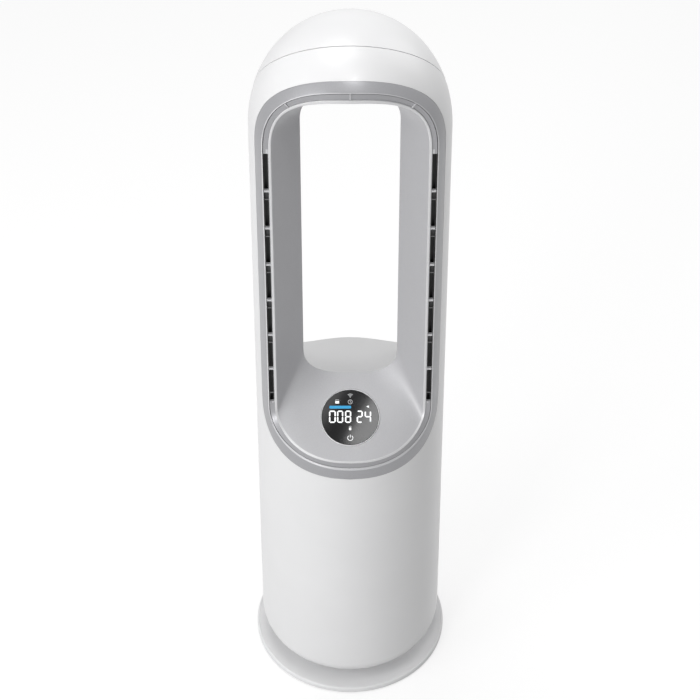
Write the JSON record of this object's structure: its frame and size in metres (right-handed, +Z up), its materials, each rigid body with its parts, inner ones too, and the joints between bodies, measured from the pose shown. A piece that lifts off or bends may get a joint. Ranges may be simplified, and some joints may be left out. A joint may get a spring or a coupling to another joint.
{
  "type": "air purifier fan",
  "caption": "Tall white tower air purifier fan with an open silver-lined oval tunnel, side outlet slots, a round display and a disc base.",
  "frame": {"origin": "centre of the base's underside, on the floor, which is also on the tower's swivel axis", "axes": "+Z up through the tower, -Y the front with the display, +X the object's left-hand side seen from behind and the right side of the picture"},
  "size_m": [0.258, 0.258, 1.05],
  "materials": {
    "white_plastic": "smooth satin white moulding",
    "silver_plastic": "silver metallic paint, satin",
    "satin_grey_plastic": "light silver-grey paint, satin",
    "silver_trim": "thin bright ring",
    "black_glass": "smoked black display window",
    "black_plastic": "matt black",
    "dark_plastic": "dark grey, fine grain",
    "grey_plastic": "mid grey structural plastic",
    "natural_plastic": "uncoloured engineering plastic",
    "circuit_board": "green solder mask",
    "filter_fleece": "pleated fleece",
    "blue_plastic": "moulded pull tab",
    "rubber": "soft black rubber",
    "steel": "plain zinc-plated steel"
  },
  "bodies": {
    "base": {"base_plate": "white_plastic", "base_cover": "dark_plastic", "base_weight": "steel", "rubber_feet": "rubber", "base_screw_1": "steel", "base_screw_2": "steel", "base_screw_3": "steel", "cord_grommet": "rubber", "slide_ring": "natural_plastic", "swivel_post": "grey_plastic", "retaining_ring": "steel", "ring_gear": "natural_plastic"},
    "tower": {"turntable": "dark_plastic", "stepper_bracket": "steel", "swing_stepper": "steel", "chassis_screw_1": "steel", "chassis_screw_2": "steel", "chassis_screw_3": "steel", "chassis_drum": "grey_plastic", "main_board": "circuit_board", "board_relay": "dark_plastic", "board_chip": "dark_plastic", "board_capacitor": "dark_plastic", "power_supply": "steel", "particle_sensor": "dark_plastic", "filter_bay": "grey_plastic", "inlet_deck": "grey_plastic", "fan_housing": "grey_plastic", "housing_lid": "grey_plastic", "fan_motor": "steel", "motor_mount": "grey_plastic", "air_duct_left": "natural_plastic", "air_duct_right": "natural_plastic", "outlet_channel_left": "black_plastic", "outlet_channel_right": "black_plastic", "front_shell": "white_plastic", "back_shell": "white_plastic", "outer_frame": "silver_plastic", "vent_ring": "silver_plastic", "tunnel_liner": "satin_grey_plastic", "rear_tunnel": "white_plastic", "display_ring": "silver_trim", "display_glass": "black_glass", "display_cup": "black_plastic", "display_board": "circuit_board"},
    "fan": {"impeller": "black_plastic", "impeller_shaft": "steel"},
    "pinion": {"drive_pinion": "natural_plastic"},
    "cover": {"intake_cover": "white_plastic", "cover_grip": "white_plastic"},
    "filter": {"filter_cartridge": "dark_plastic", "filter_pleats": "filter_fleece", "filter_tab": "blue_plastic"}
  },
  "joints": [
    {"name": "tower_swivel", "type": "hinge", "parent": "base", "child": "tower", "pos_m": [0, 0, 0.02], "axis": [0, 0, 1], "range_deg": [-175, 175]},
    {"name": "pinion_spin", "type": "hinge", "parent": "tower", "child": "pinion", "pos_m": [0.055, 0, 0.03], "axis": [0, 0, 1], "range_deg": [-700, 700]},
    {"name": "impeller_spin", "type": "hinge", "parent": "tower", "child": "fan", "pos_m": [0, 0, 0.33], "axis": [0, 0, 1], "continuous": true},
    {"name": "cover_off", "type": "slide", "parent": "tower", "child": "cover", "axis": [0, 1, 0], "range_m": [0, 0.3]},
    {"name": "filter_out", "type": "slide", "parent": "tower", "child": "filter", "axis": [0, 1, 0], "range_m": [0, 0.15]}
  ],
  "couplings": [
    {"joint": "pinion_spin", "follows": "tower_swivel", "ratio": 4},
    {"joint": "filter_out", "follows": "cover_off", "ratio": 0.5}
  ]
}
